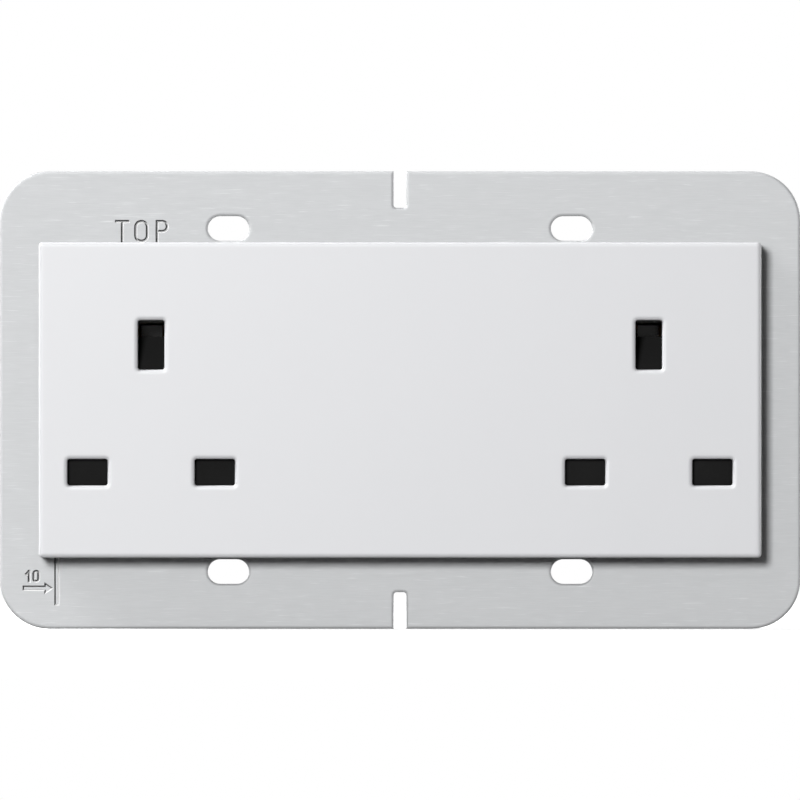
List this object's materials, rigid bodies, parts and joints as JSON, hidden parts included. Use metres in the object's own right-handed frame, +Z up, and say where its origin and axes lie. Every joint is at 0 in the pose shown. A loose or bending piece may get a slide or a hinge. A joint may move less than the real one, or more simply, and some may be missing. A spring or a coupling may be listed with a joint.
{
  "type": "twin socket outlet",
  "caption": "Shuttered wall socket outlet: white moulded cover on a brushed steel mounting plate, with sprung shutters, contact clips, busbars and screw terminals behind.",
  "frame": {"origin": "middle of the four wall slots, on the back face of the mounting plate", "axes": "+X right and +Z up as seen from the room, +Y into the wall"},
  "size_m": [0.14, 0.0335, 0.08],
  "materials": {
    "brushed_plate": "brushed sideways",
    "white_cover": "smooth moulded white",
    "dark_moulding": "moulded black",
    "grey_moulding": "fine moulded texture",
    "black_shutter": "moulded black",
    "spring_wire": "drawn wire",
    "bronze_clip": "rolled strip",
    "brass": "rolled and turned",
    "terminal_screw": "turned and threaded",
    "zinc_screw": "zinc plated"
  },
  "bodies": {
    "insert": {"mounting_plate": "brushed_plate", "front_cover": "white_cover", "inner_plate": "dark_moulding", "rear_housing": "grey_moulding", "contact_rivets": "brass", "earth_bond_rivet": "brass", "housing_screws": "zinc_screw", "shutter_spring_left": "spring_wire", "shutter_spring_right": "spring_wire", "neutral_contact_left": "bronze_clip", "neutral_contact_right": "bronze_clip", "line_contact_left": "bronze_clip", "line_contact_right": "bronze_clip", "earth_contact_left": "bronze_clip", "earth_contact_right": "bronze_clip", "neutral_busbar": "brass", "line_busbar": "brass", "earth_busbar": "brass", "neutral_terminal": "brass", "line_terminal": "brass", "earth_terminal_left": "brass", "earth_terminal_right": "brass"},
    "shutter_left_body": {"shutter_left": "black_shutter"},
    "shutter_right_body": {"shutter_right": "black_shutter"},
    "neutral_terminal_screw_body": {"neutral_terminal_screw": "terminal_screw"},
    "line_terminal_screw_body": {"line_terminal_screw": "terminal_screw"},
    "earth_terminal_screw_left_body": {"earth_terminal_screw_left": "terminal_screw"},
    "earth_terminal_screw_right_body": {"earth_terminal_screw_right": "terminal_screw"}
  },
  "joints": [
    {"name": "shutter_left_slide", "type": "slide", "parent": "insert", "child": "shutter_left_body", "axis": [0, 0, -1], "range_m": [0, 0.00565], "stiffness_N_per_m": 100, "springref_m": -0.006, "deforming": ["shutter_spring_left"]},
    {"name": "shutter_right_slide", "type": "slide", "parent": "insert", "child": "shutter_right_body", "axis": [0, 0, -1], "range_m": [0, 0.00565], "stiffness_N_per_m": 100, "springref_m": -0.006, "deforming": ["shutter_spring_right"]},
    {"name": "neutral_terminal_screw_drive", "type": "slide", "parent": "insert", "child": "neutral_terminal_screw_body", "axis": [0, -1, 0], "range_m": [0, 0.0035]},
    {"name": "line_terminal_screw_drive", "type": "slide", "parent": "insert", "child": "line_terminal_screw_body", "axis": [0, -1, 0], "range_m": [0, 0.0035]},
    {"name": "earth_terminal_screw_left_drive", "type": "slide", "parent": "insert", "child": "earth_terminal_screw_left_body", "axis": [0, -1, 0], "range_m": [0, 0.0035]},
    {"name": "earth_terminal_screw_right_drive", "type": "slide", "parent": "insert", "child": "earth_terminal_screw_right_body", "axis": [0, -1, 0], "range_m": [0, 0.0035]}
  ]
}
